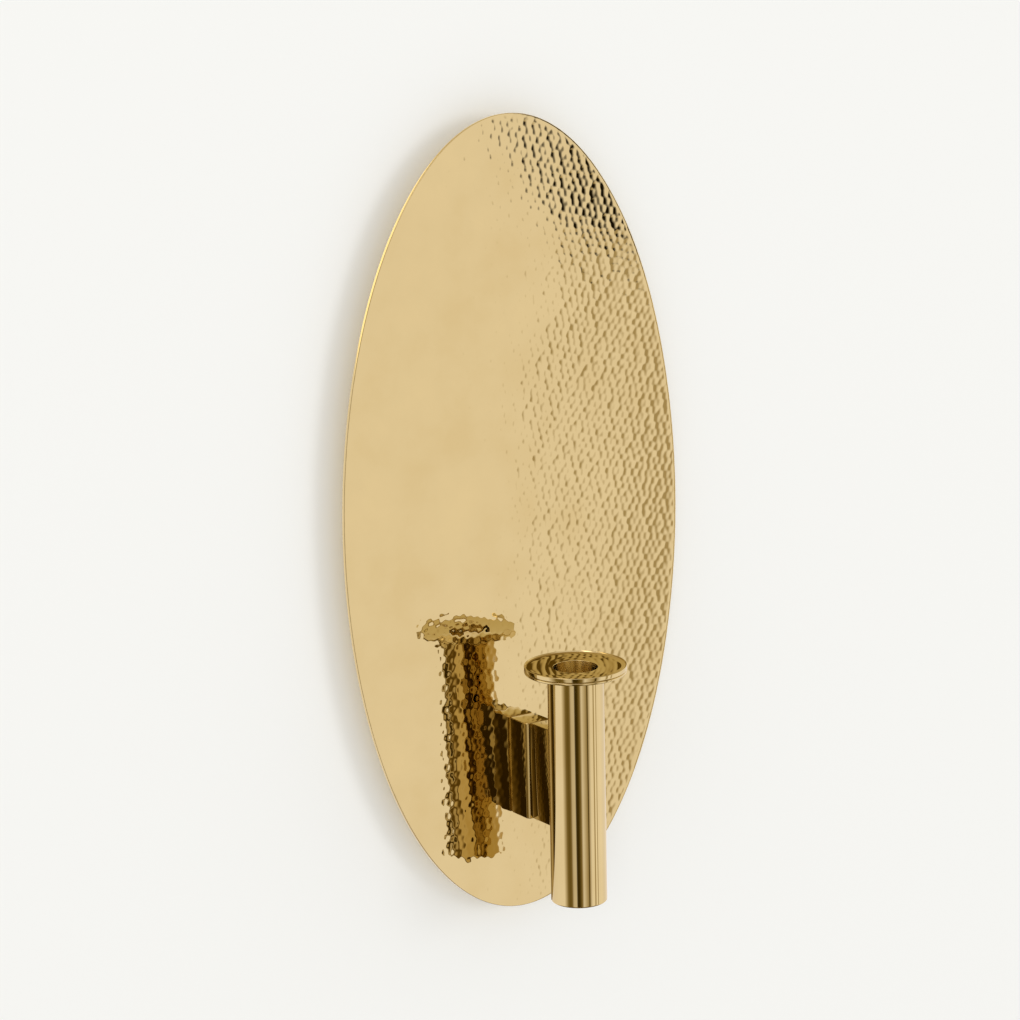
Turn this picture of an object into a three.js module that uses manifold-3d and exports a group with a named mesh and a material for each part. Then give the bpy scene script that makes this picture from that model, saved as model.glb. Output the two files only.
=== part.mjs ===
// A wall sconce for one taper candle: a tall oval plate of hammered brass hangs flat on the wall and
// throws the candle light forward. A rectangular brass arm in two sections carries an upright tube,
// and a shallow drip pan with its candle socket drops into the top of the tube and lifts out again.
//
// Millimetres, +Z up, front towards -Y. The wall is the plane y = 0, and the origin is on the wall
// face of the steel hanger bracket behind the plate, just under its keyhole.

import * as THREE from 'three';
import { mergeVertices } from 'three/addons/utils/BufferGeometryUtils.js';
import Module from 'manifold-3d';

const wasm = await Module();
wasm.setup();

// ---------------------------------------------------------------- driving dimensions

// Gap that a cut surface or a running fit keeps to its neighbour.
const CLEARANCE = 0.3;

// Oval reflector plate.
const PLATE_HALF_WIDTH = 98.9;
const PLATE_HALF_HEIGHT = 201.7;
const PLATE_THICKNESS = 2;
const PLATE_BEVEL = 0.5;
const PLATE_STANDOFF = 12;
const PLATE_CENTRE_Z = -100;
const PLATE_BACK_Y = -PLATE_STANDOFF;
const PLATE_FRONT_Y = PLATE_BACK_Y - PLATE_THICKNESS;

// Two-section arm, measured down from the middle of the plate.
const ARM_HEIGHT = 49.8;
const ARM_TOP_Z = PLATE_CENTRE_Z - 101.1;
const ARM_MIDDLE_Z = ARM_TOP_Z - ARM_HEIGHT / 2;
const ARM_BASE_WIDTH = 15;
const ARM_BASE_DEPTH = 16;
const ARM_BASE_CHAMFER = 1.3;
const ARM_BAR_WIDTH = 9.4;
const ARM_BEVEL = 0.4;

// Upright tube and what is pressed or brazed into it.
const TUBE_RADIUS = 14;
const TUBE_WALL = 1.8;
const TUBE_BORE = TUBE_RADIUS - TUBE_WALL;
const TUBE_BOTTOM_EDGE = 0.8;
const TUBE_REACH = 49.7;
const TUBE_AXIS_Y = PLATE_FRONT_Y - TUBE_REACH;
const PAN_TOP_Z = PLATE_CENTRE_Z - 64.6;
const TUBE_BOTTOM_Z = PLATE_CENTRE_Z - 185.3;
const ANCHOR_LENGTH = 56;
const PLUG_LENGTH = 8;

// Drip pan, the flange it rests on and the candle socket.
const PAN_RADIUS = 25.3;
const PAN_HEIGHT = 2.5;
const PAN_FLOOR = 1.4;
const PAN_CONE_RISE = 0.2;
const PAN_WELL_RADIUS = 21.5;
const PAN_CREST = 0.9;
const PAN_FOOT_EDGE = 0.4;
const FLANGE_RADIUS = 25.2;
const FLANGE_THICKNESS = 1.2;
const FLANGE_TAPER = 0.5;
const CANDLE_BORE_RADIUS = 11.25;
const SOCKET_FLOOR_RADIUS = 10.2;
const SOCKET_WALL = 0.65;
const SOCKET_DEPTH = 30;
const SOCKET_LIP_RADIUS = 13;
const SOCKET_LIP_HEIGHT = 0.5;
const SOCKET_LIP_EDGE = 0.3;

// Two M5 tie screws clamp backing plate, reflector, arm and tube together.
const TIE_RADIUS = 2.5;
const TIE_LENGTH = 60;
const TIE_HEAD_RADIUS = 4.25;
const TIE_HEAD_HEIGHT = 5;
const TIE_CHAMFER = 0.5;
const TIE_HEX_ACROSS_FLATS = 4;
const TIE_HEX_DEPTH = 2.5;
const TIE_SPACING = 26;
const TIE_WASHER_RADIUS = 5;
const TIE_WASHER_THICKNESS = 1;
const BACKING_WIDTH = 34;
const BACKING_HEIGHT = 64;
const BACKING_THICKNESS = 3;
const BACKING_CORNER = 2;

// Folded steel hanger bracket with one keyhole, bolted to studs brazed behind the plate.
const HANGER_SHEET = 2;
const HANGER_WEB_HALF = 30;
const HANGER_FOOT = 18;
const HANGER_BEND = 1.2;
const HANGER_BOTTOM_Z = -12;
const HANGER_TOP_Z = 32;
const KEYHOLE_Z = 14;
const KEYHOLE_RADIUS = 4.75;
const KEYHOLE_SLOT_WIDTH = 5;
const KEYHOLE_SLOT_RISE = 9;
const STUD_RADIUS = 2;
const STUD_LENGTH = 7;
const STUD_CHAMFER = 0.4;
const STUD_X = HANGER_WEB_HALF + HANGER_FOOT / 2;
const STUD_Z = (HANGER_BOTTOM_Z + HANGER_TOP_Z) / 2;
const STUD_WASHER_RADIUS = 4.5;
const STUD_WASHER_THICKNESS = 0.8;
const NUT_ACROSS_FLATS = 7;
const NUT_HEIGHT = 3.2;

// Rubber bumpers that keep the foot of the plate off the wall.
const BUMPER_RADIUS = 7;
const BUMPER_TAPER = 1;
const BUMPER_X = 46;
const BUMPER_Z = PLATE_CENTRE_Z - 120;

const SIDES_LARGE = 64;
const SIDES_SMALL = 24;

// ---------------------------------------------------------------- materials

const metal = (color, roughness) => new THREE.MeshStandardMaterial({ color, roughness, metalness: 1 });
const HAMMERED_BRASS = metal(0xd9bb82, 0.2);
const POLISHED_BRASS = metal(0xcfa862, 0.12);
const TURNED_BRASS = metal(0xc49a52, 0.25);
const ZINC_STEEL = metal(0xb4b6b8, 0.35);
const RUBBER = new THREE.MeshStandardMaterial({ color: 0x2a2a2b, roughness: 0.85, metalness: 0 });

// ---------------------------------------------------------------- solids

const sconce = new THREE.Group();

function add(name, geometry, material, x = 0, y = 0, z = 0) {
  const mesh = new THREE.Mesh(geometry, material);
  mesh.name = name;
  mesh.position.set(x, y, z);
  sconce.add(mesh);
}

function toSolid(geometry) {
  const bare = geometry.clone();
  bare.deleteAttribute('normal');
  bare.deleteAttribute('uv');
  const merged = mergeVertices(bare);
  return new wasm.Manifold(new wasm.Mesh({
    numProp: 3,
    vertProperties: new Float32Array(merged.attributes.position.array),
    triVerts: new Uint32Array(merged.index.array),
  }));
}

function cut(body, tools) {
  let solid = toSolid(body);
  for (const tool of tools) {
    solid = solid.subtract(toSolid(tool));
  }
  const mesh = solid.getMesh();
  const geometry = new THREE.BufferGeometry();
  geometry.setAttribute('position', new THREE.BufferAttribute(mesh.vertProperties, 3));
  geometry.setIndex(new THREE.BufferAttribute(mesh.triVerts, 1));
  geometry.computeVertexNormals();
  return geometry;
}

// A turned solid about +Z from [radius, height] points that start and end on the axis.
function turned(profile, sides) {
  const points = profile.map(([radius, height]) => new THREE.Vector2(radius, height));
  return new THREE.LatheGeometry(points, sides).rotateX(Math.PI / 2);
}

// A turned ring about +Z: the profile goes once round its section and closes on itself.
function turnedRing(profile, sides) {
  return turned([...profile, profile[0]], sides);
}

// A round bar or prism along Y, centred on x and z, between two y values.
function barAlongY(radius, fromY, toY, x, z, sides) {
  const bar = new THREE.CylinderGeometry(radius, radius, Math.abs(toY - fromY), sides);
  return bar.translate(x, (fromY + toY) / 2, z);
}

// An outline through its corners, each one rounded off by the same distance.
function roundedShape(corners, radius) {
  const shape = new THREE.Shape();
  corners.forEach((corner, i) => {
    const before = corners[(i + corners.length - 1) % corners.length];
    const after = corners[(i + 1) % corners.length];
    const start = corner.clone().add(before.clone().sub(corner).setLength(radius));
    const end = corner.clone().add(after.clone().sub(corner).setLength(radius));
    if (i === 0) {
      shape.moveTo(start.x, start.y);
    } else {
      shape.lineTo(start.x, start.y);
    }
    shape.quadraticCurveTo(corner.x, corner.y, end.x, end.y);
  });
  return shape;
}

function rectangle(width, height) {
  const x = width / 2;
  const z = height / 2;
  return [[-x, -z], [x, -z], [x, z], [-x, z]].map(([a, b]) => new THREE.Vector2(a, b));
}

// A plan drawn in X and Y, extruded to the arm's height about z = 0, its end edges bevelled.
function extrudeUp(plan) {
  const geometry = new THREE.ExtrudeGeometry(plan, {
    depth: ARM_HEIGHT - 2 * ARM_BEVEL,
    curveSegments: 8,
    bevelThickness: ARM_BEVEL,
    bevelSize: ARM_BEVEL,
    bevelOffset: -ARM_BEVEL,
    bevelSegments: 1,
  });
  return geometry.translate(0, 0, ARM_BEVEL - ARM_HEIGHT / 2);
}

// A shape drawn in X and Z, extruded towards the viewer from backY, its end edges bevelled.
function extrudeForward(shape, backY, depth, bevel) {
  const geometry = new THREE.ExtrudeGeometry(shape, {
    depth: depth - 2 * bevel,
    curveSegments: 3,
    bevelEnabled: bevel > 0,
    bevelThickness: bevel,
    bevelSize: bevel,
    bevelOffset: -bevel,
    bevelSegments: 1,
  });
  return geometry.translate(0, 0, bevel).rotateX(Math.PI / 2).translate(0, backY, 0);
}

function ring(inner, outer, thickness) {
  return turnedRing([[inner, 0], [outer, 0], [outer, thickness], [inner, thickness]], SIDES_SMALL);
}

// Turns a solid made about +Z so that its top faces the viewer.
const facingFront = (geometry) => geometry.rotateX(Math.PI / 2);

// Turns a solid made about +Z so that its top faces the wall.
const facingWall = (geometry) => geometry.rotateX(-Math.PI / 2);

// ---------------------------------------------------------------- reflector and arm

const tieHeights = [ARM_MIDDLE_Z + TIE_SPACING / 2, ARM_MIDDLE_Z - TIE_SPACING / 2];
const TIE_HOLE = TIE_RADIUS + CLEARANCE;

function tieHoles(fromY, toY, baseZ) {
  return tieHeights.map((z) => barAlongY(TIE_HOLE, fromY, toY, 0, z - baseZ, SIDES_SMALL));
}

function reflectorPlate() {
  const points = [];
  const steps = 2 * SIDES_LARGE;
  for (let i = 0; i < steps; i += 1) {
    const angle = (i / steps) * 2 * Math.PI;
    points.push(new THREE.Vector2(PLATE_HALF_WIDTH * Math.cos(angle), PLATE_HALF_HEIGHT * Math.sin(angle)));
  }
  const sheet = extrudeForward(new THREE.Shape(points), PLATE_BACK_Y, PLATE_THICKNESS, PLATE_BEVEL);
  return cut(sheet, tieHoles(PLATE_BACK_Y + 1, PLATE_FRONT_Y - 1, PLATE_CENTRE_Z));
}

// Plain block with all four upright edges chamfered.
function armBaseBlock() {
  const x = ARM_BASE_WIDTH / 2;
  const frontY = PLATE_FRONT_Y - ARM_BASE_DEPTH;
  const c = ARM_BASE_CHAMFER;
  const plan = new THREE.Shape([
    [x, frontY + c], [x, PLATE_FRONT_Y - c], [x - c, PLATE_FRONT_Y], [c - x, PLATE_FRONT_Y],
    [-x, PLATE_FRONT_Y - c], [-x, frontY + c], [c - x, frontY], [x - c, frontY],
  ].map(([px, py]) => new THREE.Vector2(px, py)));
  return cut(extrudeUp(plan), tieHoles(PLATE_FRONT_Y + 1, frontY - 1, ARM_MIDDLE_Z));
}

// The bar's front end is hollowed to seat on the round of the tube.
function armBar() {
  const x = ARM_BAR_WIDTH / 2;
  const backY = PLATE_FRONT_Y - ARM_BASE_DEPTH;
  const saddle = TUBE_RADIUS + CLEARANCE;
  const edge = Math.acos(x / saddle);
  const plan = new THREE.Shape();
  plan.moveTo(x, backY);
  plan.lineTo(-x, backY);
  plan.absarc(0, TUBE_AXIS_Y, saddle, Math.PI - edge, edge, true);
  return cut(extrudeUp(plan), tieHoles(backY + 1, TUBE_AXIS_Y, ARM_MIDDLE_Z));
}

function backingPlate() {
  const outline = roundedShape(rectangle(BACKING_WIDTH, BACKING_HEIGHT), BACKING_CORNER);
  const plate = extrudeForward(outline, PLATE_BACK_Y + BACKING_THICKNESS, BACKING_THICKNESS, 0);
  return cut(plate, tieHoles(PLATE_BACK_Y + BACKING_THICKNESS + 1, PLATE_BACK_Y - 1, ARM_MIDDLE_Z));
}

add('reflector_plate', reflectorPlate(), HAMMERED_BRASS, 0, 0, PLATE_CENTRE_Z);
add('arm_base_block', armBaseBlock(), POLISHED_BRASS, 0, 0, ARM_MIDDLE_Z);
add('arm_bar', armBar(), POLISHED_BRASS, 0, 0, ARM_MIDDLE_Z);
add('arm_backing_plate', backingPlate(), ZINC_STEEL, 0, 0, ARM_MIDDLE_Z);

// ---------------------------------------------------------------- tie screws

const TIE_HEAD_Y = PLATE_BACK_Y + BACKING_THICKNESS + TIE_WASHER_THICKNESS;

// Made about +Z with the head's underside at zero and the shank above it.
function tieScrew() {
  const body = turned([
    [0, -TIE_HEAD_HEIGHT],
    [TIE_HEAD_RADIUS - TIE_CHAMFER, -TIE_HEAD_HEIGHT],
    [TIE_HEAD_RADIUS, -TIE_HEAD_HEIGHT + TIE_CHAMFER],
    [TIE_HEAD_RADIUS, 0],
    [TIE_RADIUS, 0],
    [TIE_RADIUS, TIE_LENGTH - TIE_CHAMFER],
    [TIE_RADIUS - TIE_CHAMFER, TIE_LENGTH],
    [0, TIE_LENGTH],
  ], SIDES_SMALL);
  const hexRadius = TIE_HEX_ACROSS_FLATS / Math.sqrt(3);
  const key = new THREE.CylinderGeometry(hexRadius, hexRadius, 2 * TIE_HEX_DEPTH, 6);
  return cut(body, [key.rotateX(Math.PI / 2).translate(0, 0, -TIE_HEAD_HEIGHT)]);
}

const screwGeometry = facingFront(tieScrew());
const tieWasherGeometry = facingFront(ring(TIE_HOLE, TIE_WASHER_RADIUS, TIE_WASHER_THICKNESS));
['upper', 'lower'].forEach((place, i) => {
  add(`tie_screw_${place}`, screwGeometry, ZINC_STEEL, 0, TIE_HEAD_Y, tieHeights[i]);
  add(`tie_washer_${place}`, tieWasherGeometry, ZINC_STEEL, 0, TIE_HEAD_Y, tieHeights[i]);
});

// ---------------------------------------------------------------- tube, anchor and plug

const FLANGE_TOP_Z = PAN_TOP_Z - PAN_HEIGHT;
const TUBE_TOP_Z = FLANGE_TOP_Z - FLANGE_THICKNESS;
const TUBE_LENGTH = TUBE_TOP_Z - TUBE_BOTTOM_Z;

function candleTube() {
  const shell = turnedRing([
    [TUBE_BORE, 0],
    [TUBE_RADIUS - TUBE_BOTTOM_EDGE, 0],
    [TUBE_RADIUS - TUBE_BOTTOM_EDGE / 3, TUBE_BOTTOM_EDGE / 3],
    [TUBE_RADIUS, TUBE_BOTTOM_EDGE],
    [TUBE_RADIUS, TUBE_LENGTH],
    [TUBE_BORE, TUBE_LENGTH],
  ], SIDES_LARGE);
  return cut(shell, tieHoles(0, TUBE_RADIUS + 1, TUBE_BOTTOM_Z));
}

// Solid brass slug inside the tube, cross-tapped for the two tie screws.
function tubeAnchor() {
  const radius = TUBE_BORE - CLEARANCE;
  const slug = turned([[0, 0], [radius, 0], [radius, ANCHOR_LENGTH], [0, ANCHOR_LENGTH]], SIDES_LARGE);
  const screwEnd = TIE_HEAD_Y - TIE_LENGTH - TUBE_AXIS_Y;
  return cut(slug, tieHoles(screwEnd - 1, TUBE_RADIUS, ARM_MIDDLE_Z - ANCHOR_LENGTH / 2));
}

function tubePlug() {
  const radius = TUBE_BORE - CLEARANCE;
  return turned([[0, 0], [radius, 0], [radius, PLUG_LENGTH], [0, PLUG_LENGTH]], SIDES_LARGE);
}

add('candle_tube', candleTube(), POLISHED_BRASS, 0, TUBE_AXIS_Y, TUBE_BOTTOM_Z);
add('tube_anchor', tubeAnchor(), TURNED_BRASS, 0, TUBE_AXIS_Y, ARM_MIDDLE_Z - ANCHOR_LENGTH / 2);
add('tube_bottom_plug', tubePlug(), TURNED_BRASS, 0, TUBE_AXIS_Y, TUBE_BOTTOM_Z);

// ---------------------------------------------------------------- drip pan, flange and socket

const SOCKET_OUTER = CANDLE_BORE_RADIUS + SOCKET_WALL;
const PAN_HOLE = SOCKET_OUTER + CLEARANCE;

// Brazed on the tube: the thin plate that the drip pan rests on.
function topFlange() {
  return turnedRing([
    [PAN_HOLE, 0],
    [FLANGE_RADIUS - 2 * FLANGE_TAPER, 0],
    [FLANGE_RADIUS, FLANGE_TAPER],
    [FLANGE_RADIUS, FLANGE_THICKNESS],
    [PAN_HOLE, FLANGE_THICKNESS],
  ], SIDES_LARGE);
}

// Flat underneath, a nearly flat floor, and a rim that sweeps up in a quarter round.
function dripPan() {
  const sweepRise = PAN_HEIGHT - PAN_CREST / 3 - PAN_FLOOR - PAN_CONE_RISE;
  const sweepRun = PAN_RADIUS - PAN_CREST - PAN_WELL_RADIUS;
  const profile = [[PAN_HOLE, 0], [PAN_RADIUS - PAN_FOOT_EDGE, 0], [PAN_RADIUS, PAN_FOOT_EDGE]];
  for (const turn of [0, 0.25, 0.5, 0.75, 1]) {
    const angle = turn * Math.PI / 2;
    profile.push([
      PAN_RADIUS - PAN_CREST * (1 - Math.cos(angle)) / 2,
      PAN_HEIGHT - PAN_CREST * (1 - Math.sin(angle)) / 2,
    ]);
  }
  for (const turn of [1, 0.75, 0.5, 0.25, 0]) {
    const angle = turn * Math.PI / 2;
    profile.push([
      PAN_WELL_RADIUS + sweepRun * Math.sin(angle),
      PAN_FLOOR + PAN_CONE_RISE + sweepRise * (1 - Math.cos(angle)),
    ]);
  }
  profile.push([PAN_HOLE, PAN_FLOOR]);
  return turnedRing(profile, SIDES_LARGE);
}

// Drawn brass cup, narrower towards its floor, with a small turned-out lip that lies on the pan.
function candleSocket() {
  const lipSeat = PAN_CONE_RISE * (SOCKET_LIP_RADIUS - PAN_HOLE) / (PAN_WELL_RADIUS - PAN_HOLE);
  return turned([
    [0, -SOCKET_DEPTH - SOCKET_WALL],
    [SOCKET_OUTER, -SOCKET_DEPTH - SOCKET_WALL],
    [SOCKET_OUTER, 0],
    [SOCKET_LIP_RADIUS, lipSeat],
    [SOCKET_LIP_RADIUS - SOCKET_LIP_EDGE, SOCKET_LIP_HEIGHT],
    [CANDLE_BORE_RADIUS + SOCKET_LIP_EDGE, SOCKET_LIP_HEIGHT],
    [CANDLE_BORE_RADIUS, SOCKET_LIP_HEIGHT - SOCKET_LIP_EDGE],
    [SOCKET_FLOOR_RADIUS, -SOCKET_DEPTH],
    [0, -SOCKET_DEPTH],
  ], SIDES_LARGE);
}

add('top_flange', topFlange(), POLISHED_BRASS, 0, TUBE_AXIS_Y, TUBE_TOP_Z);
add('drip_pan', dripPan(), POLISHED_BRASS, 0, TUBE_AXIS_Y, FLANGE_TOP_Z);
add('candle_socket', candleSocket(), TURNED_BRASS, 0, TUBE_AXIS_Y, FLANGE_TOP_Z + PAN_FLOOR);

// ---------------------------------------------------------------- hanger and bumpers

// A hat section: feet against the plate, legs, and a raised web against the wall.
function hangerBracket() {
  const foot = HANGER_WEB_HALF + HANGER_FOOT;
  const inner = HANGER_WEB_HALF - HANGER_SHEET;
  const footY = PLATE_BACK_Y + HANGER_SHEET;
  const right = [
    [inner, -HANGER_SHEET], [inner, PLATE_BACK_Y], [foot, PLATE_BACK_Y],
    [foot, footY], [HANGER_WEB_HALF, footY], [HANGER_WEB_HALF, 0],
  ];
  const left = right.map(([x, y]) => [-x, y]).reverse();
  const corners = [...left, ...right].map(([x, y]) => new THREE.Vector2(x, y));
  const height = HANGER_TOP_Z - HANGER_BOTTOM_Z;
  const hat = new THREE.ExtrudeGeometry(roundedShape(corners, HANGER_BEND / 2), {
    depth: height,
    curveSegments: 2,
    bevelEnabled: false,
  });
  const slot = new THREE.BoxGeometry(KEYHOLE_SLOT_WIDTH, 2 * HANGER_SHEET + 2, KEYHOLE_SLOT_RISE);
  const studHole = STUD_RADIUS + CLEARANCE;
  return cut(hat.translate(0, 0, HANGER_BOTTOM_Z), [
    barAlongY(KEYHOLE_RADIUS, -HANGER_SHEET - 1, 1, 0, KEYHOLE_Z, SIDES_SMALL),
    slot.translate(0, 0, KEYHOLE_Z + KEYHOLE_SLOT_RISE / 2),
    barAlongY(KEYHOLE_SLOT_WIDTH / 2, -HANGER_SHEET - 1, 1, 0, KEYHOLE_Z + KEYHOLE_SLOT_RISE, SIDES_SMALL),
    barAlongY(studHole, PLATE_BACK_Y - 1, footY + 1, -STUD_X, STUD_Z, SIDES_SMALL),
    barAlongY(studHole, PLATE_BACK_Y - 1, footY + 1, STUD_X, STUD_Z, SIDES_SMALL),
  ]);
}

function stud() {
  return turned([
    [0, 0],
    [STUD_RADIUS, 0],
    [STUD_RADIUS, STUD_LENGTH - STUD_CHAMFER],
    [STUD_RADIUS - STUD_CHAMFER, STUD_LENGTH],
    [0, STUD_LENGTH],
  ], SIDES_SMALL);
}

function nut() {
  const radius = NUT_ACROSS_FLATS / Math.sqrt(3);
  const body = new THREE.CylinderGeometry(radius, radius, NUT_HEIGHT, 6).translate(0, NUT_HEIGHT / 2, 0);
  return cut(body, [barAlongY(STUD_RADIUS + CLEARANCE, -1, NUT_HEIGHT + 1, 0, 0, SIDES_SMALL)]);
}

function bumper() {
  return turned([
    [0, 0], [BUMPER_RADIUS, 0], [BUMPER_RADIUS, PLATE_STANDOFF - BUMPER_TAPER],
    [BUMPER_RADIUS - BUMPER_TAPER, PLATE_STANDOFF], [0, PLATE_STANDOFF],
  ], SIDES_SMALL);
}

add('hanger_bracket', hangerBracket(), ZINC_STEEL);
const studGeometry = facingWall(stud());
const studWasher = ring(STUD_RADIUS + CLEARANCE, STUD_WASHER_RADIUS, STUD_WASHER_THICKNESS);
const studWasherGeometry = facingWall(studWasher);
const nutGeometry = nut();
const bumperGeometry = facingWall(bumper());
const FOOT_TOP_Y = PLATE_BACK_Y + HANGER_SHEET;
for (const [side, sign] of [['left', -1], ['right', 1]]) {
  const x = sign * STUD_X;
  add(`hanger_stud_${side}`, studGeometry, TURNED_BRASS, x, PLATE_BACK_Y, STUD_Z);
  add(`hanger_washer_${side}`, studWasherGeometry, ZINC_STEEL, x, FOOT_TOP_Y, STUD_Z);
  add(`hanger_nut_${side}`, nutGeometry, ZINC_STEEL, x, FOOT_TOP_Y + STUD_WASHER_THICKNESS, STUD_Z);
  add(`wall_bumper_${side}`, bumperGeometry, RUBBER, sign * BUMPER_X, PLATE_BACK_Y, BUMPER_Z);
}

export default sconce;
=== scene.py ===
"""Looks of the wall sconce: hammered brass plate, polished brass arm, tube and lift-out drip pan.

Everything is in metres in the CAD frame: +Z up, front towards -Y, wall plane at y = 0.
"""

import math

import bmesh
import bpy
import numpy as np
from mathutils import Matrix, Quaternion, Vector


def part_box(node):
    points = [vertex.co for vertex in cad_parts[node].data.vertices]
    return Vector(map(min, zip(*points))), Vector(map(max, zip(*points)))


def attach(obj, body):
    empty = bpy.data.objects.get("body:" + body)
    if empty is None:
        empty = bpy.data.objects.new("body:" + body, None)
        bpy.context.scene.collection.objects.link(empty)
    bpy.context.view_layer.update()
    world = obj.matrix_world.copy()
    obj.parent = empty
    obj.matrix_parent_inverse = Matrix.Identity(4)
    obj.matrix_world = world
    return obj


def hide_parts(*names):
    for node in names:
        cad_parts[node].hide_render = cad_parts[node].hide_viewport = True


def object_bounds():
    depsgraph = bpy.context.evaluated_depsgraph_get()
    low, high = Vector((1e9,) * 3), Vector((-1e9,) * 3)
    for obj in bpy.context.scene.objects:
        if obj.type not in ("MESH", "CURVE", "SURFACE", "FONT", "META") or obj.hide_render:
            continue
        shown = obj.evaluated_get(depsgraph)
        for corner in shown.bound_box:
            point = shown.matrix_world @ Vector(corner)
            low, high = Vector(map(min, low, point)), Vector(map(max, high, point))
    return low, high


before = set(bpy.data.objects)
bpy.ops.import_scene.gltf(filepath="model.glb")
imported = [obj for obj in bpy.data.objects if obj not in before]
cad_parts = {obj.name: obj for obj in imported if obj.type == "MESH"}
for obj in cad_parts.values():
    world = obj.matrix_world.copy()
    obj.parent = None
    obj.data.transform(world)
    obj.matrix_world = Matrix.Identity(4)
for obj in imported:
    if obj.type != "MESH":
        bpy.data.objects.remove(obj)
cad_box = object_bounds()

MM = 0.001

# ------------------------------------------------------------------ places read from the frame

plate_low, plate_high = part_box("reflector_plate")
tube_low, tube_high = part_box("candle_tube")
pan_low, pan_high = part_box("drip_pan")
flange_low, flange_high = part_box("top_flange")
socket_low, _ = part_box("candle_socket")
base_low, base_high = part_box("arm_base_block")
bar_low, bar_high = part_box("arm_bar")
plug_low, plug_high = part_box("tube_bottom_plug")

PLATE_FRONT = plate_low.y
PLATE_THICKNESS = plate_high.y - plate_low.y
PLATE_HALF_WIDTH = (plate_high.x - plate_low.x) / 2
PLATE_HALF_HEIGHT = (plate_high.z - plate_low.z) / 2
PLATE_CENTRE = Vector((0, PLATE_FRONT, (plate_low.z + plate_high.z) / 2))
TUBE_AXIS = Vector((0, (tube_low.y + tube_high.y) / 2, 0))
TUBE_RADIUS = (tube_high.x - tube_low.x) / 2
ARM_HEIGHT_Z = (base_low.z + base_high.z) / 2

# ------------------------------------------------------------------ camera

CAMERA_AZIMUTH = math.radians(-32.7)
CAMERA_ELEVATION = math.radians(11.2)
CAMERA_DISTANCE = 1.349
CAMERA_ROLL = math.radians(-1.21)
CAMERA_LENS = 95.1
AIM_LEFT = 3.7 * MM
AIM_UP = 4.9 * MM
SENSOR_WIDTH = 36


def make_camera():
    back = Vector((
        math.sin(CAMERA_AZIMUTH) * math.cos(CAMERA_ELEVATION),
        -math.cos(CAMERA_AZIMUTH) * math.cos(CAMERA_ELEVATION),
        math.sin(CAMERA_ELEVATION),
    ))
    right = Vector((math.cos(CAMERA_AZIMUTH), math.sin(CAMERA_AZIMUTH), 0))
    up = back.cross(right)
    place = PLATE_CENTRE + back * CAMERA_DISTANCE
    aim = PLATE_CENTRE - right * AIM_LEFT + up * AIM_UP
    data = bpy.data.cameras.new("camera")
    data.lens = CAMERA_LENS
    data.sensor_width = SENSOR_WIDTH
    camera = bpy.data.objects.new("camera", data)
    camera.location = place
    camera.rotation_mode = "QUATERNION"
    look = (aim - place).to_track_quat("-Z", "Y")
    camera.rotation_quaternion = look @ Quaternion((0, 0, 1), CAMERA_ROLL)
    bpy.context.scene.collection.objects.link(camera)
    bpy.context.scene.camera = camera


# ------------------------------------------------------------------ node helpers


class Nodes:
    """Short calls for building one node tree."""

    def __init__(self, tree):
        self.tree = tree

    def add(self, kind, **settings):
        node = self.tree.nodes.new(kind)
        for name, value in settings.items():
            if name in node.inputs:
                node.inputs[name].default_value = value
            else:
                setattr(node, name, value)
        return node

    def link(self, source, target):
        self.tree.links.new(source, target)

    def math(self, operation, a, b=None):
        node = self.add("ShaderNodeMath", operation=operation)
        for socket, value in zip(node.inputs, (a, b)):
            if value is None:
                continue
            if isinstance(value, (int, float)):
                socket.default_value = value
            else:
                self.link(value, socket)
        return node.outputs[0]

    def noise(self, coordinates, scale, detail=2.0, stretch=(1, 1, 1)):
        mapping = self.add("ShaderNodeMapping")
        mapping.inputs["Scale"].default_value = stretch
        self.link(coordinates, mapping.inputs["Vector"])
        node = self.add("ShaderNodeTexNoise", Scale=scale, Detail=detail)
        self.link(mapping.outputs["Vector"], node.inputs["Vector"])
        return node.outputs["Fac"]

    def span(self, value, low, high, to_low, to_high):
        node = self.add("ShaderNodeMapRange")
        self.link(value, node.inputs["Value"])
        node.inputs["From Min"].default_value = low
        node.inputs["From Max"].default_value = high
        node.inputs["To Min"].default_value = to_low
        node.inputs["To Max"].default_value = to_high
        return node.outputs["Result"]

    def ramp(self, value, stops):
        node = self.add("ShaderNodeValToRGB")
        elements = node.color_ramp.elements
        while len(elements) > 1:
            elements.remove(elements[-1])
        elements[0].position = stops[0][0]
        elements[0].color = (*stops[0][1], 1)
        for position, color in stops[1:]:
            elements.new(position).color = (*color, 1)
        self.link(value, node.inputs["Fac"])
        return node.outputs["Color"]

    def blend(self, factor, first, second):
        """Colour from first (factor 0) to second (factor 1); each is a socket or a plain colour."""
        node = self.add("ShaderNodeMix", data_type="RGBA")
        self.link(factor, node.inputs["Factor"])
        for socket, color in ((node.inputs["A"], first), (node.inputs["B"], second)):
            if isinstance(color, tuple):
                socket.default_value = (*color, 1)
            else:
                self.link(color, socket)
        return node.outputs["Result"]

    def bump(self, height, strength, distance):
        node = self.add("ShaderNodeBump", Strength=strength, Distance=distance)
        self.link(height, node.inputs["Height"])
        return node.outputs["Normal"]


def new_material(name):
    material = bpy.data.materials.new(name)
    material.use_nodes = True
    nodes = Nodes(material.node_tree)
    shader = material.node_tree.nodes["Principled BSDF"]
    place = nodes.add("ShaderNodeTexCoord").outputs["Object"]
    return material, nodes, shader, place


def scaled(color, factor):
    return tuple(channel * factor for channel in color)


# ------------------------------------------------------------------ materials

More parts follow.
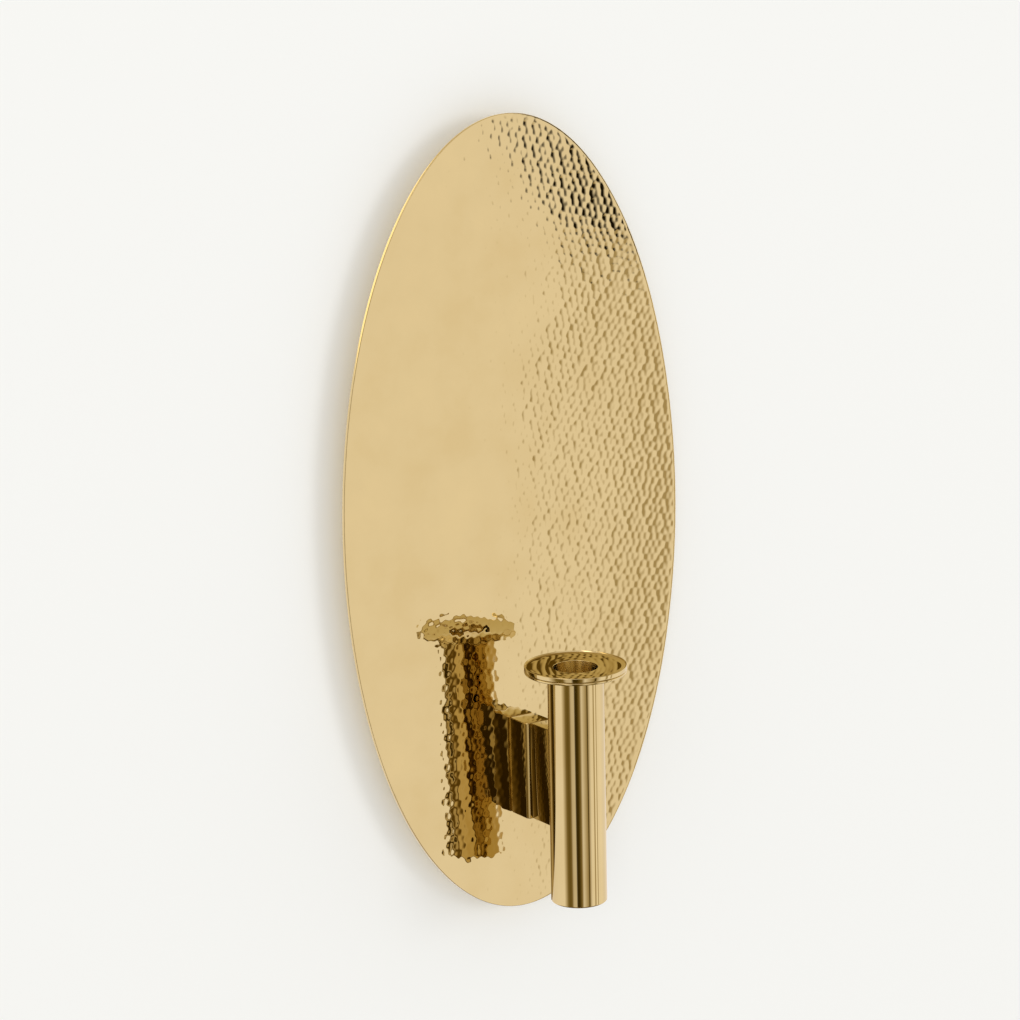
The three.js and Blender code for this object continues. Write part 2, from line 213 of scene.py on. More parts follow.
BRASS = (0.68, 0.57, 0.31)
# Painted light: a paler, brighter copy of BRASS for the bore, standing in for the light that falls
# into it.
BORE_BRASS_PAINTED_LIGHT = (0.76, 0.66, 0.43)
ZINC = (0.62, 0.63, 0.64)
# Painted shade: brown for the tube's back, which shows only in the plate.
TUBE_BACK_PAINTED_SHADE = (0.50, 0.35, 0.10)
ARM_LEFT_BROWN = (0.46, 0.34, 0.12)
FULLY_BROWN_COSINE = 0.72
HAIRLINE_DEPTH = 0.002 * MM
RING_DEPTH = 0.0006 * MM
TURNED_LINE_DEPTH = 0.02 * MM
RUBBER_PORE_DEPTH = 0.06 * MM
LINES_UP = (1, 1, 0.03)
EVEN_GRAIN = (1, 1, 1)


def polished_metal(name, tone, smooth, dull, grain):
    """Mirror-polished metal: faint cloudy tarnish, hairline polishing marks and a varying sheen."""
    material, nodes, shader, place = new_material(name)
    shader.inputs["Metallic"].default_value = 1.0
    clouds = nodes.noise(place, 38.0, 4.0)
    warm = (tone[0] * 0.97, tone[1] * 0.955, tone[2] * 0.92)
    nodes.link(nodes.ramp(clouds, [(0.30, warm), (0.52, tone), (0.75, scaled(tone, 1.03))]),
               shader.inputs["Base Color"])
    smears = nodes.noise(place, 90.0, 5.0, stretch=(1, 1, 0.35))
    nodes.link(nodes.span(smears, 0.35, 0.75, smooth, dull), shader.inputs["Roughness"])
    hairs = nodes.noise(place, 1400.0, 2.0, stretch=grain)
    nodes.link(nodes.bump(hairs, 0.12, HAIRLINE_DEPTH), shader.inputs["Normal"])
    return material


def brown_facing_side(material, facing, start, deep):
    """Browner colour on the side that faces a direction, from the cosine start to full at a set
    cosine; on the tube it is painted shade.
    """
    nodes = Nodes(material.node_tree)
    shader = material.node_tree.nodes["Principled BSDF"]
    plain_tone = shader.inputs["Base Color"].links[0].from_socket
    normal = nodes.add("ShaderNodeTexCoord").outputs["Normal"]
    toward = nodes.add("ShaderNodeVectorMath", operation="DOT_PRODUCT")
    nodes.link(normal, toward.inputs[0])
    toward.inputs[1].default_value = facing
    browning = nodes.span(toward.outputs["Value"], start, FULLY_BROWN_COSINE, 0.0, 1.0)
    nodes.link(nodes.blend(browning, plain_tone, deep), shader.inputs["Base Color"])
    return material


def bored_metal(name, tone):
    """Fine-bored inner wall: an even sheen with only faint clouding."""
    material, nodes, shader, place = new_material(name)
    shader.inputs["Metallic"].default_value = 1.0
    clouds = nodes.noise(place, 160.0, 3.0)
    nodes.link(nodes.ramp(clouds, [(0.3, scaled(tone, 0.92)), (0.7, tone)]),
               shader.inputs["Base Color"])
    nodes.link(nodes.span(clouds, 0.3, 0.7, 0.11, 0.17), shader.inputs["Roughness"])
    rings = nodes.noise(place, 900.0, 2.0, stretch=(0.05, 0.05, 1))
    nodes.link(nodes.bump(rings, 0.1, RING_DEPTH), shader.inputs["Normal"])
    return material


def satin_metal(name, tone, smooth, dull, grain):
    """Machined or plated metal: turned or rolled lines, soft speckle and duller patches."""
    material, nodes, shader, place = new_material(name)
    shader.inputs["Metallic"].default_value = 1.0
    speckle = nodes.noise(place, 420.0, 6.0)
    dark, bright = scaled(tone, 0.82), scaled(tone, 1.06)
    nodes.link(nodes.ramp(speckle, [(0.30, dark), (0.55, tone), (0.8, bright)]),
               shader.inputs["Base Color"])
    patches = nodes.noise(place, 70.0, 4.0)
    nodes.link(nodes.span(patches, 0.3, 0.7, smooth, dull), shader.inputs["Roughness"])
    lines = nodes.noise(place, 900.0, 3.0, stretch=grain)
    nodes.link(nodes.bump(lines, 0.35, TURNED_LINE_DEPTH), shader.inputs["Normal"])
    return material


def rubber():
    """Black rubber: fine pores and a little grey dust."""
    material, nodes, shader, place = new_material("bumper_rubber")
    dust = nodes.noise(place, 300.0, 6.0)
    nodes.link(nodes.ramp(dust, [(0.35, (0.012, 0.012, 0.013)), (0.7, (0.035, 0.034, 0.033))]),
               shader.inputs["Base Color"])
    nodes.link(nodes.span(dust, 0.3, 0.8, 0.62, 0.85), shader.inputs["Roughness"])
    pores = nodes.noise(place, 2600.0, 3.0)
    nodes.link(nodes.bump(pores, 0.4, RUBBER_PORE_DEPTH), shader.inputs["Normal"])
    return material


# ------------------------------------------------------------------ mesh helpers


def mark_sharp(mesh, degrees=28):
    """Shades the mesh smooth except across edges that turn by more than the angle."""
    work = bmesh.new()
    work.from_mesh(mesh)
    bmesh.ops.recalc_face_normals(work, faces=work.faces)
    limit = math.radians(degrees)
    for face in work.faces:
        face.smooth = True
    for edge in work.edges:
        edge.smooth = len(edge.link_faces) == 2 and edge.calc_face_angle() < limit
    work.to_mesh(mesh)
    work.free()


def new_piece(name, mesh, material, body, slot, *nodes):
    piece = bpy.data.objects.new(name, mesh)
    bpy.context.scene.collection.objects.link(piece)
    mesh.materials.append(material)
    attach(piece, body)
    if nodes:
        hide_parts(*nodes)
    return piece


def arc(centre_r, centre_z, radius, start, end, steps):
    """Points on an arc of a turned profile; angles in degrees, 0 outwards and 90 up."""
    points = []
    for i in range(steps + 1):
        angle = math.radians(start + (end - start) * i / steps)
        points.append((centre_r + radius * math.cos(angle), centre_z + radius * math.sin(angle)))
    return points


TURNED_SIDES = 192


def turned_mesh(name, profile, closed=False):
    """Turns (radius, z) points about the tube's axis. A closed profile is a ring's section."""
    sides = TURNED_SIDES
    work = bmesh.new()
    rings = []
    for radius, z in profile:
        if radius < 1e-7:
            rings.append([work.verts.new((TUBE_AXIS.x, TUBE_AXIS.y, z))])
            continue
        ring = []
        for i in range(sides):
            angle = 2 * math.pi * i / sides
            x = TUBE_AXIS.x + radius * math.cos(angle)
            y = TUBE_AXIS.y + radius * math.sin(angle)
            ring.append(work.verts.new((x, y, z)))
        rings.append(ring)
    pairs = list(zip(rings, rings[1:]))
    if closed:
        pairs.append((rings[-1], rings[0]))
    for lower, upper in pairs:
        for i in range(sides):
            j = (i + 1) % sides
            corners = [lower[i % len(lower)], lower[j % len(lower)]]
            corners += [upper[j % len(upper)], upper[i % len(upper)]]
            corners = list(dict.fromkeys(corners))
            if len(corners) > 2:
                work.faces.new(corners)
    mesh = bpy.data.meshes.new(name)
    work.to_mesh(mesh)
    work.free()
    mark_sharp(mesh)
    return mesh


def tip(mesh, slope):
    """Tips a level piece on the tube down towards the photo's side; upright walls stay upright."""
    for vertex in mesh.vertices:
        away = (vertex.co.x - TUBE_AXIS.x) * -math.sin(CAMERA_AZIMUTH)
        away += (vertex.co.y - TUBE_AXIS.y) * math.cos(CAMERA_AZIMUTH)
        vertex.co.z += slope * away
    return mesh


# ------------------------------------------------------------------ hammered plate

DENT_PITCH = 4.15 * MM
DENT_JITTER = 0.20
DENT_CURVE_LOW = 44 * MM
DENT_CURVE_HIGH = 53 * MM
DENT_TILT = 0.010
RIDGE_SOFTNESS = 0.016 * MM
ROW_TURN = math.radians(13)
ROW_SWAY = 1.6 * MM
GRID_ACROSS = 272
GRID_UP = 544
RIM_INSET = 0.25 * MM
RIM_CALM = 1.2 * MM
PLATE_BOW = 1.4 * MM
FOLD_SLOPE = 0.0122
FOLD_WIDTH = 5 * MM
FOLD_FADE = 0.074
# The fold's edge, measured from the middle of the plate: how far right it runs, then the size,
# place and half-length of its bulge outwards, of its dip inwards and of its step near the top.
FOLD_START = 0.004
BULGE_OUT, BULGE_Z, BULGE_LENGTH = 0.026, 0.124, 0.034
DIP_IN, DIP_Z, DIP_LENGTH = 0.008, 0.056, 0.018
STEP_IN, STEP_Z, STEP_LENGTH = 0.014, 0.184, 0.004
# Above STEEPER_Z the fold is steeper by this share.
STEEPER_BY, STEEPER_Z, STEEPER_LENGTH = 0.60, 0.148, 0.005
# Two small waves: slope, length along the wave, length of its slant, and phase.
WAVE_SLOPE = 0.0016
CROSS_WAVE, CROSS_SLANT, CROSS_PHASE = 0.012, 0.047, 2.1
LONG_WAVE, LONG_SLANT = 0.019, 0.051
SWAY_UP, SWAY_PHASE, SWAY_ACROSS = 0.031, 1.0, 0.028
BACK_PRINT = -0.6


def hash_noise(i, j, seed):
    """A repeatable random number from 0 to 1 for each pair of whole numbers."""
    value = np.sin(i * 127.1 + j * 311.7 + seed * 74.7) * 43758.5453
    return value - np.floor(value)


def sheet_shape(x, z):
    """How far the hand-worked sheet leans forward: a long bow, a soft fold and small waves."""
    arm_share = (ARM_HEIGHT_Z - PLATE_CENTRE.z) / PLATE_HALF_HEIGHT
    bow = PLATE_BOW * ((z / PLATE_HALF_HEIGHT) ** 2 - arm_share ** 2)
    bulge = (BULGE_OUT * np.exp(-(((z - BULGE_Z) / BULGE_LENGTH) ** 4))
             - DIP_IN * np.exp(-(((z - DIP_Z) / DIP_LENGTH) ** 2)))
    bulge -= STEP_IN / (1 + np.exp((STEP_Z - z) / STEP_LENGTH))
    reach = FOLD_WIDTH * np.logaddexp(0, (x - FOLD_START - bulge) / FOLD_WIDTH)
    steeper = 1 + STEEPER_BY / (1 + np.exp((STEEPER_Z - z) / STEEPER_LENGTH))
    fold = FOLD_SLOPE * steeper * (reach - reach * reach / (4 * FOLD_FADE))
    waves = WAVE_SLOPE * CROSS_WAVE * np.sin(x / CROSS_WAVE - z / CROSS_SLANT + CROSS_PHASE)
    waves += WAVE_SLOPE * LONG_WAVE * np.sin(z / LONG_WAVE + x / LONG_SLANT)
    return bow - fold + waves


def dent_height(x, z):
    """Height of the hammered surface over its dents' bottoms: the lowest of the round bowls."""
    row_step = DENT_PITCH * math.sqrt(3) / 2
    row = np.round(z / row_step)
    total = np.zeros_like(x)
    lowest = np.full_like(x, np.inf)
    bowls = []
    for dj in range(-2, 3):
        j = row + dj
        column = np.round(x / DENT_PITCH - 0.5 * np.mod(j, 2))
        for di in range(-2, 3):
            i = column + di
            cx = (i + 0.5 * np.mod(j, 2) + DENT_JITTER * (2 * hash_noise(i, j, 1) - 1)) * DENT_PITCH
            cz = (j + DENT_JITTER * (2 * hash_noise(i, j, 2) - 1)) * row_step
            curve = DENT_CURVE_LOW + (DENT_CURVE_HIGH - DENT_CURVE_LOW) * hash_noise(i, j, 3)
            dx, dz = x - cx, z - cz
            bowl = (dx * dx + dz * dz) / (2 * curve)
            bowl += DENT_TILT * (hash_noise(i, j, 4) - 0.5) * dx
            bowl += DENT_TILT * (hash_noise(i, j, 5) - 0.5) * dz
            bowls.append(bowl)
            lowest = np.minimum(lowest, bowl)
    for bowl in bowls:
        total += np.exp(-(bowl - lowest) / RIDGE_SOFTNESS)
    return lowest - RIDGE_SOFTNESS * np.log(total)


def disk_grid(across, up):
    """Grid points of a square carried smoothly onto the unit disk, as two arrays."""
    u, v = np.meshgrid(np.linspace(-1, 1, across + 1), np.linspace(-1, 1, up + 1))
    wide = np.abs(u) >= np.abs(v)
    safe_u = np.where(u == 0, 1, u)
    safe_v = np.where(v == 0, 1, v)
    angle = np.where(wide, math.pi / 4 * v / safe_u, math.pi / 2 - math.pi / 4 * u / safe_v)
    radius = np.where(wide, u, v)
    return radius * np.cos(angle), radius * np.sin(angle)


def grid_faces(across, up, start, flip):
    corner = np.arange(across)[None, :] + np.arange(up)[:, None] * (across + 1) + start
    corner = corner.ravel()
    quads = np.stack([corner, corner + 1, corner + across + 2, corner + across + 1], 1)
    return quads[:, ::-1] if flip else quads


def grid_border(across, up, start):
    """Indices of the grid's outer points, once round, anticlockwise in X and Z."""
    width = across + 1
    bottom = list(range(0, across))
    right = [across + k * width for k in range(up)]
    top = [up * width + k for k in range(across, 0, -1)]
    left = [k * width for k in range(up, 0, -1)]
    return [start + k for k in bottom + right + top + left]


def rim_section():
    """(outward, y) steps of the plate's edge from the front face to the back, both edges eased."""
    ease = RIM_INSET
    front = PLATE_FRONT
    back = PLATE_FRONT + PLATE_THICKNESS
    section = []
    for k in range(1, 5):
        angle = math.pi / 2 * k / 4
        section.append((-ease + ease * math.sin(angle), front + ease - ease * math.cos(angle)))
    for k in range(0, 4):
        angle = math.pi / 2 * k / 4
        section.append((-ease + ease * math.cos(angle), back - ease + ease * math.sin(angle)))
    return section


def edge_distance(unit_x, unit_z):
    """Rough distance in from the plate's outline for a point of the unit disk."""
    return (1 - np.sqrt(unit_x**2 + unit_z**2)) * PLATE_HALF_WIDTH


def face_points(across, up, y, share, inward):
    """Points of one hammered face. share scales its relief, inward is the way the dents sink."""
    unit_x, unit_z = disk_grid(across, up)
    x = unit_x * (PLATE_HALF_WIDTH - RIM_INSET)
    z = unit_z * (PLATE_HALF_HEIGHT - RIM_INSET)
    calm = np.clip(edge_distance(unit_x, unit_z) / RIM_CALM, 0, 1)
    calm = calm * calm * (3 - 2 * calm)
    along = x * math.cos(ROW_TURN) - z * math.sin(ROW_TURN)
    along = along + ROW_SWAY * np.sin(z / SWAY_UP + SWAY_PHASE)
    upward = z * math.cos(ROW_TURN) + x * math.sin(ROW_TURN) + ROW_SWAY * np.sin(x / SWAY_ACROSS)
    relief = dent_height(along, upward)
    ridge = DENT_PITCH**2 / 6 / DENT_CURVE_LOW
    depth = (ridge - relief) * share
    y_values = y + inward * depth * calm - sheet_shape(x, z)
    return np.stack([x.ravel(), y_values.ravel(), (z + PLATE_CENTRE.z).ravel()], 1)


def hammered_plate():
    """Front face with every dent modelled, an eased rim and a fainter print of dents behind."""
    front = face_points(GRID_ACROSS, GRID_UP, PLATE_FRONT, 1.0, 1)
    back_across, back_up = GRID_ACROSS // 2, GRID_UP // 2
    back = face_points(back_across, back_up, PLATE_FRONT + PLATE_THICKNESS, BACK_PRINT, -1)
    points = [front, back]
    count = len(front) + len(back)
    faces = [grid_faces(GRID_ACROSS, GRID_UP, 0, False)]
    faces.append(grid_faces(back_across, back_up, len(front), True))
    border = grid_border(GRID_ACROSS, GRID_UP, 0)
    back_border = grid_border(back_across, back_up, len(front))
    outline = front[border][:, [0, 2]] - [0, PLATE_CENTRE.z]
    outward = outline / [PLATE_HALF_WIDTH**2, PLATE_HALF_HEIGHT**2]
    outward /= np.linalg.norm(outward, axis=1)[:, None]
    loop = border
    for out, y in rim_section():
        ring = outline + outward * (RIM_INSET + out)
        height = (y - sheet_shape(ring[:, 0], ring[:, 1]))[:, None]
        points.append(np.hstack([ring[:, :1], height, ring[:, 1:] + PLATE_CENTRE.z]))
        new_loop = list(range(count, count + len(ring)))
        count += len(ring)
        a, b = np.array(loop), np.array(new_loop)
        faces.append(np.stack([a, b, np.roll(b, -1), np.roll(a, -1)], 1))
        loop = new_loop
    polygons = np.vstack(faces).tolist()
    for k, corner in enumerate(back_border):
        following = back_border[(k + 1) % len(back_border)]
        first, middle, last = (loop[(2 * k + step) % len(loop)] for step in range(3))
        polygons.append([first, corner, middle])
        polygons.append([corner, following, middle])
        polygons.append([middle, following, last])
    mesh = bpy.data.meshes.new("hammered_reflector")
    mesh.from_pydata(np.vstack(points).tolist(), [], polygons)
    mesh.update()
    mark_sharp(mesh, 60)
    return mesh


# ------------------------------------------------------------------ arm

BLOCK_CHAMFER = 1.3 * MM
END_EASE = 0.4 * MM
UPRIGHT_EASE = 0.12 * MM
SADDLE_OVERLAP = 0.02 * MM
SADDLE_STEPS = 24


def upright_prism(name, outline, low_z, high_z, ease):
    """An upright bar from its plan outline, with its top and bottom edges eased."""
    work = bmesh.new()
    lower = [work.verts.new((x, y, low_z)) for x, y in outline]
    upper = [work.verts.new((x, y, high_z)) for x, y in outline]
    bottom = work.faces.new(lower[::-1])
    top = work.faces.new(upper)
    count = len(outline)
    for i in range(count):
        j = (i + 1) % count
        work.faces.new([lower[i], lower[j], upper[j], upper[i]])
    bmesh.ops.recalc_face_normals(work, faces=work.faces)
    rims = list(bottom.edges) + list(top.edges)
    bmesh.ops.bevel(work, geom=rims, offset=ease, segments=3, profile=0.5, affect="EDGES")
    uprights = [
        edge for edge in work.edges
        if abs(edge.verts[0].co.z - edge.verts[1].co.z) > (high_z - low_z) / 2
        and edge.calc_face_angle() > math.radians(25)
    ]
    bmesh.ops.bevel(work, geom=uprights, offset=UPRIGHT_EASE, segments=2, profile=0.5,
                    affect="EDGES")
    mesh = bpy.data.meshes.new(name)
    work.to_mesh(mesh)
    work.free()
    mark_sharp(mesh, 35)
    return mesh


def chamfered_plan(low, high, chamfer):
    """Plan of the base block: a rectangle with its corners cut off."""
    return [
        (high.x, low.y + chamfer), (high.x, high.y - chamfer), (high.x - chamfer, high.y),
        (low.x + chamfer, high.y), (low.x, high.y - chamfer), (low.x, low.y + chamfer),
        (low.x + chamfer, low.y), (high.x - chamfer, low.y),
    ]


def saddle_plan(low, high):
    """Plan of the arm bar: its front end is hollow and sits on the round of the tube."""
    reach = TUBE_RADIUS - SADDLE_OVERLAP
    half = math.asin(high.x / reach)
    outline = [(high.x, high.y), (low.x, high.y)]
    for k in range(SADDLE_STEPS + 1):
        angle = -half + 2 * half * k / SADDLE_STEPS
        outline.append((reach * math.sin(angle), TUBE_AXIS.y + reach * math.cos(angle)))
    return outline


# ------------------------------------------------------------------ turned pieces

TRAY_TIP = 0.031
BORE_RADIUS = 11.05 * MM


def tube_profile():
    """Tube wall: outer foot well rounded, a small lip inside it."""
    low, high = tube_low.z, tube_high.z
    bore = TUBE_RADIUS - 1.8 * MM
    edge = 0.9 * MM
    lip = 0.25 * MM
    profile = arc(TUBE_RADIUS - edge, low + edge, edge, -90, 0, 8)
    profile += [(TUBE_RADIUS, high), (bore, high)]
    profile += [(bore, low + lip), (bore + lip, low)]
    return profile


def plug_profile():
    """Bottom plug: a shallow dished face with a fine turned step at its edge."""
    radius = (plug_high.x - plug_low.x) / 2
    low, high = plug_low.z, plug_high.z
    return [
        (0, low + 0.6 * MM), (radius * 0.5, low + 0.45 * MM), (radius - 1.4 * MM, low + 0.2 * MM),
        (radius - 1.2 * MM, low), (radius - 0.2 * MM, low), (radius, low + 0.2 * MM),
        (radius, high), (0, high),
    ]


def flange_profile():
    """Thin plate under the pan, both outer edges rounded."""
    low, high = flange_low.z, flange_high.z
    radius = (flange_high.x - flange_low.x) / 2
    hole = 12.2 * MM
    under = 0.5 * MM
    above = 0.45 * MM
    profile = [(hole, low), (radius - 1.0 * MM, low)]
    profile += arc(radius - under, low + under, under, -70, 0, 6)
    profile += arc(radius - above, high - above, above, 0, 80, 6)
    profile += [(hole, high)]
    return profile


def pan_profile():
    """Shallow pan: flat below, a slightly coned floor and a wall swept up to a round crest."""
    low, high = pan_low.z, pan_high.z
    radius = (pan_high.x - pan_low.x) / 2
    hole = BORE_RADIUS
    crest = 0.35 * MM
    floor = low + 1.4 * MM
    cone = 0.2 * MM
    well = 21.5 * MM
    sweep_run = radius - 2 * crest - well
    sweep_rise = high - crest - (floor + cone)
    foot = 0.75 * MM
    sweep_steps = 12
    mouth = 0.25 * MM
    profile = [(hole, low)] + arc(radius - foot, low + foot, foot, -90, 0, 8)
    profile += arc(radius - crest, high - crest, crest, 0, 90, 8)
    for k in range(sweep_steps + 1):
        angle = math.pi / 2 * (1 - k / sweep_steps)
        profile.append((
            well + sweep_run * math.sin(angle),
            floor + cone + sweep_rise * (1 - math.cos(angle)),
        ))
    profile += arc(hole + mouth, floor - mouth, mouth, 90, 180, 5)
    return profile


def socket_profile():
    """Drawn cup under the pan; its lip is let into the pan's floor, just below the surface."""
    low, high = socket_low.z, pan_low.z + 1.2 * MM
    outer = 11.9 * MM
    foot = 10.2 * MM
    lip = 12.4 * MM
    floor = low + 0.65 * MM
    corner = 1.2 * MM
    lip_under = high - 0.5 * MM
    mouth = 0.35 * MM
    profile = [(0, low)] + arc(outer - corner, low + corner, corner, -90, 0, 6)
    profile += [(outer, lip_under), (lip, lip_under), (lip, high)]
    profile += arc(BORE_RADIUS + mouth, high - mouth, mouth, 90, 180, 6)
    profile += arc(foot - corner, floor + corner, corner, 0, -90, 6)
    profile += [(0, floor)]
    return profile


# ------------------------------------------------------------------ studio

PAPER = (0.858, 0.855, 0.830)
SOFTBOX = (1.07, 0.965, 0.90)
STAGE_PAINT = (0.86, 0.86, 0.85)
NEUTRAL_LEVEL = 0.8
DARK_GREEN, GREEN_RISE = 0.68, 1.1
DARK_BLUE, BLUE_RISE = 0.08, 1.35


def studio_ramp(nodes, azimuth, bands, tint=(1, 1, 1)):
    """Brightness round the horizon from (degrees, level) points, warm below NEUTRAL_LEVEL."""
    stops = []
    for degrees, level in bands:
        share = min(1.0, level / NEUTRAL_LEVEL)
        green = DARK_GREEN + (1 - DARK_GREEN) * share**GREEN_RISE
        blue = DARK_BLUE + (1 - DARK_BLUE) * share**BLUE_RISE
        warm = (1, green, blue)
        color = tuple(level * a * b * c for a, b, c in zip(SOFTBOX, warm, tint))
        stops.append(((degrees + 180) / 360, color))
    return nodes.ramp(azimuth, stops)


# What the metal sees round the sconce: softboxes with dark gaps, as (degrees, level) points.
# 0 degrees is straight ahead of the plate; the photo's camera stands at -32.7. By the direction
# that a ray looks, from down to up, they are FLOOR, LOW, HIGH (about level), TOP and CEILING.
LOW_BANDS = [
    (-180, 0.95), (-97, 1.0), (-88, 0.61), (-79, 0.24), (-70, 0.16), (-62, 0.23), (-55, 0.70),
    (-44, 0.74), (-40, 0.06), (-32, 0.05), (-28, 0.10), (-20, 0.27), (-13, 0.88), (-4, 0.66),
    (8, 0.38), (10, 0.07), (12.5, 0.07), (14, 0.42), (21, 0.82), (25, 1.0), (36.3, 1.0),
    (36.9, 0.50), (42.4, 0.49), (43.2, 1.05), (50, 1.04), (51.5, 0.50), (54, 0.50), (56, 1.0),
    (75, 1.05), (95, 0.95), (180, 0.95),
]
HIGH_BANDS = [
    (-180, 0.95), (-97, 1.0), (-88, 0.61), (-79, 0.24), (-62, 0.23), (-55, 0.70), (-44, 0.70),
    (-40, 0.06), (-28, 0.10), (-13, 0.85), (-4, 0.66), (8, 0.38), (10, 0.07), (12.5, 0.07),
    (14, 0.42), (21, 0.82), (25, 1.0), (36.3, 1.0), (36.7, 0.01), (42.4, 0.01), (43.0, 1.1),
    (75, 1.05), (180, 0.95),
]
TOP_BANDS = [
    (-180, 1.7), (-122, 1.7), (-108, 0.95), (-97, 0.95), (-79, 0.30), (-62, 0.30), (-50, 0.60),
    (-35, 0.20), (-15, 0.50), (5, 0.70), (20, 0.84), (33, 0.82), (35.5, 0.62), (36.5, 0.15),
    (43, 0.15), (44, 0.60), (60, 0.90), (180, 0.90),
]
FLOOR_BANDS = [(-180, 0.10), (-60, 0.16), (60, 0.16), (180, 0.10)]
CEILING_BANDS = [
    (-180, 0.6), (-120, 0.6), (-95, 0.8), (-84, 1.1), (-80, 2.4), (-62, 2.4), (-57, 0.9),
    (-40, 0.8), (20, 0.8), (40, 0.5), (60, 0.5), (180, 0.6),
]


def make_world():
    """Only glossy rays see the studio bands; everything else sees an even pale paper."""
    world = bpy.data.worlds.new("studio")
    world.use_nodes = True
    bpy.context.scene.world = world
    tree = world.node_tree
    nodes = Nodes(tree)
    background = tree.nodes["Background"]
    direction = nodes.add("ShaderNodeTexCoord").outputs["Generated"]
    parts = nodes.add("ShaderNodeSeparateXYZ")
    nodes.link(direction, parts.inputs[0])
    ahead = nodes.math("MULTIPLY", parts.outputs["Y"], -1.0)
    turn = nodes.math("ARCTAN2", parts.outputs["X"], ahead)
    azimuth = nodes.math("ADD", nodes.math("DIVIDE", turn, 2 * math.pi), 0.5)
    surround = studio_ramp(nodes, azimuth, LOW_BANDS)
    # bands, the rise (sine) of the ray's direction where they begin and where they are full, tint
    levels = (
        (HIGH_BANDS, -0.100, -0.084, (1, 1, 1)),
        (TOP_BANDS, 0.08, 0.15, (1, 0.95, 0.70)),
        (CEILING_BANDS, 0.40, 0.60, (1, 0.97, 0.93)),
        (FLOOR_BANDS, -0.62, -0.78, (1, 1, 1)),
    )
    for bands, start, end, tint in levels:
        rise = nodes.span(parts.outputs["Z"], start, end, 0.0, 1.0)
        surround = nodes.blend(rise, surround, studio_ramp(nodes, azimuth, bands, tint))
    rays = nodes.add("ShaderNodeLightPath")
    shown = nodes.blend(rays.outputs["Is Glossy Ray"], PAPER, surround)
    nodes.link(shown, background.inputs["Color"])


def flat_sheet(name, corners, material):
    """A sheet of the stage that only the camera sees directly."""
    mesh = bpy.data.meshes.new(name)
    mesh.from_pydata(corners, [], [list(range(len(corners)))])
    mesh.materials.append(material)
    sheet = bpy.data.objects.new(name, mesh)
    bpy.context.scene.collection.objects.link(sheet)
    sheet.visible_diffuse = False
    sheet.visible_glossy = False
    sheet.visible_transmission = False
    sheet.visible_shadow = False


def plain_paint(name, one_sided):
    """Matt paint; a one-sided sheet is clear from behind, so that back views see through it."""
    material, nodes, shader, _ = new_material(name)
    shader.inputs["Roughness"].default_value = 0.9
    shader.inputs["Specular IOR Level"].default_value = 0.0
    shader.inputs["Base Color"].default_value = (*STAGE_PAINT, 1)
    if one_sided:
        output = material.node_tree.nodes["Material Output"]
        back = nodes.add("ShaderNodeNewGeometry").outputs["Backfacing"]
        clear = nodes.add("ShaderNodeBsdfTransparent").outputs[0]
        chosen = nodes.add("ShaderNodeMixShader")
        nodes.link(back, chosen.inputs["Fac"])
        nodes.link(shader.outputs[0], chosen.inputs[1])
        nodes.link(clear, chosen.inputs[2])
        nodes.link(chosen.outputs[0], output.inputs["Surface"])
    return material


STAGE_REACH = 20.0
WALL_GAP = 1 * MM
FLOOR_DROP = 1.2


def make_stage():
    wall_y = cad_box[1][1] + WALL_GAP
    floor_z = cad_box[0][2] - FLOOR_DROP
    square = [(-1, -1), (1, -1), (1, 1), (-1, 1)]
    wall = [(a * STAGE_REACH, wall_y, b * STAGE_REACH) for a, b in square]
    flat_sheet("wall", wall, plain_paint("wall_paint", True))
    floor = [(a * STAGE_REACH, b * STAGE_REACH, floor_z) for a, b in square]
    flat_sheet("floor", floor, plain_paint("floor_paint", False))


def soft_light(name, place, size, power):
    data = bpy.data.lights.new(name, "AREA")
    data.shape = "DISK"
    data.size = size
    data.energy = power
    light = bpy.data.objects.new(name, data)
    light.location = place
    light.rotation_mode = "QUATERNION"
    light.rotation_quaternion = (PLATE_CENTRE - Vector(place)).to_track_quat("-Z", "Y")
    light.visible_glossy = False
    bpy.context.scene.collection.objects.link(light)


# ------------------------------------------------------------------ putting it together

make_camera()
bpy.context.scene.view_settings.view_transform = "Standard"
make_world()
make_stage()
soft_light("key", (2.6, -4.2, 0.6), size=2.0, power=36)
soft_light("fill", (-2.2, -3.4, 0.8), size=1.4, power=22)

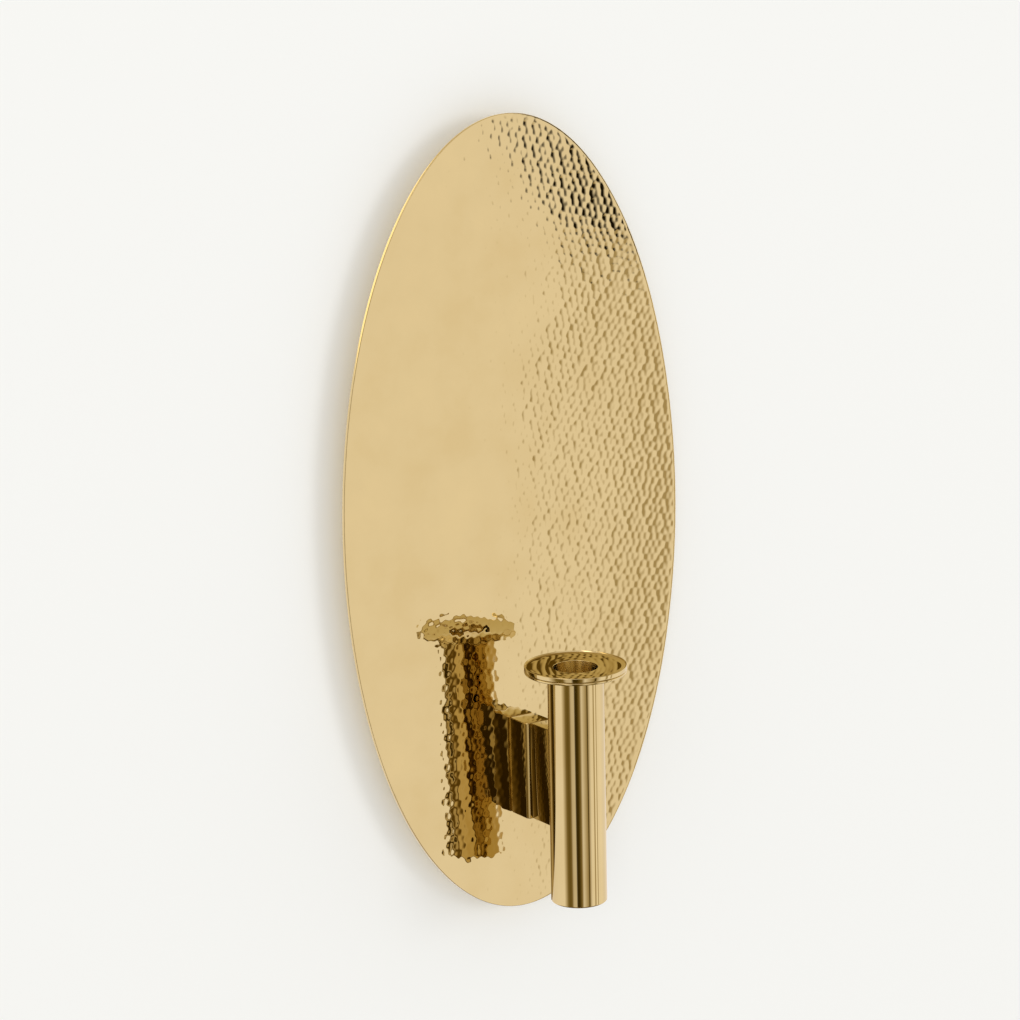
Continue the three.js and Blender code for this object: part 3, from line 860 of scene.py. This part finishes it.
hammered = polished_metal("hammered_brass", BRASS, 0.010, 0.032, EVEN_GRAIN)
polished = polished_metal("polished_brass", BRASS, 0.015, 0.045, LINES_UP)
# Painted shade: the tube's side turned away from the camera, seen only in the plate, is painted
# browner to stand for its darker double reflection.
tube_brass = brown_facing_side(polished_metal("tube_brass", BRASS, 0.015, 0.045, LINES_UP),
                      (0.35, 0.94, 0), -0.50, TUBE_BACK_PAINTED_SHADE)
# The arm's faces turned to the left (-X) are browner.
arm_brass = brown_facing_side(polished_metal("arm_brass", BRASS, 0.015, 0.045, LINES_UP),
                     (-1, 0, 0), 0.60, ARM_LEFT_BROWN)
# The bore's paler brass is painted light.
bored = bored_metal("bored_brass", BORE_BRASS_PAINTED_LIGHT)
turned = satin_metal("turned_brass", scaled(BRASS, 0.86), 0.16, 0.30, (0.05, 0.05, 1))
zinc = satin_metal("zinc_steel", ZINC, 0.28, 0.42, (1, 1, 0.08))
black_rubber = rubber()

new_piece("hammered_reflector", hammered_plate(),
          hammered, "sconce", "hammered_brass", "reflector_plate")
block_plan = chamfered_plan(base_low, base_high, BLOCK_CHAMFER)
block_mesh = upright_prism("arm_block", block_plan, base_low.z, base_high.z, END_EASE)
new_piece("arm_block", block_mesh, arm_brass, "sconce", "polished_brass", "arm_base_block")
bar_plan = saddle_plan(bar_low, bar_high)
bar_mesh = upright_prism("arm_front_bar", bar_plan, bar_low.z, bar_high.z, END_EASE)
new_piece("arm_front_bar", bar_mesh, arm_brass, "sconce", "polished_brass", "arm_bar")

new_piece("tube_shell", turned_mesh("tube_shell", tube_profile(), closed=True),
          tube_brass, "sconce", "polished_brass", "candle_tube")
new_piece("tube_plug", turned_mesh("tube_plug", plug_profile()),
          turned, "sconce", "turned_brass", "tube_bottom_plug")
new_piece("pan_flange", tip(turned_mesh("pan_flange", flange_profile(), closed=True), TRAY_TIP),
          polished, "sconce", "polished_brass", "top_flange")
new_piece("wax_pan", tip(turned_mesh("wax_pan", pan_profile(), closed=True), TRAY_TIP),
          polished, "drip_tray", "polished_brass", "drip_pan")
new_piece("socket_cup", tip(turned_mesh("socket_cup", socket_profile()), TRAY_TIP),
          bored, "drip_tray", "turned_brass", "candle_socket")

for name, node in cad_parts.items():
    if node.hide_render:
        continue
    if "bumper" in name:
        look = black_rubber
    elif "stud" in name or "anchor" in name:
        look = turned
    else:
        look = zinc
    node.data.materials.clear()
    node.data.materials.append(look)
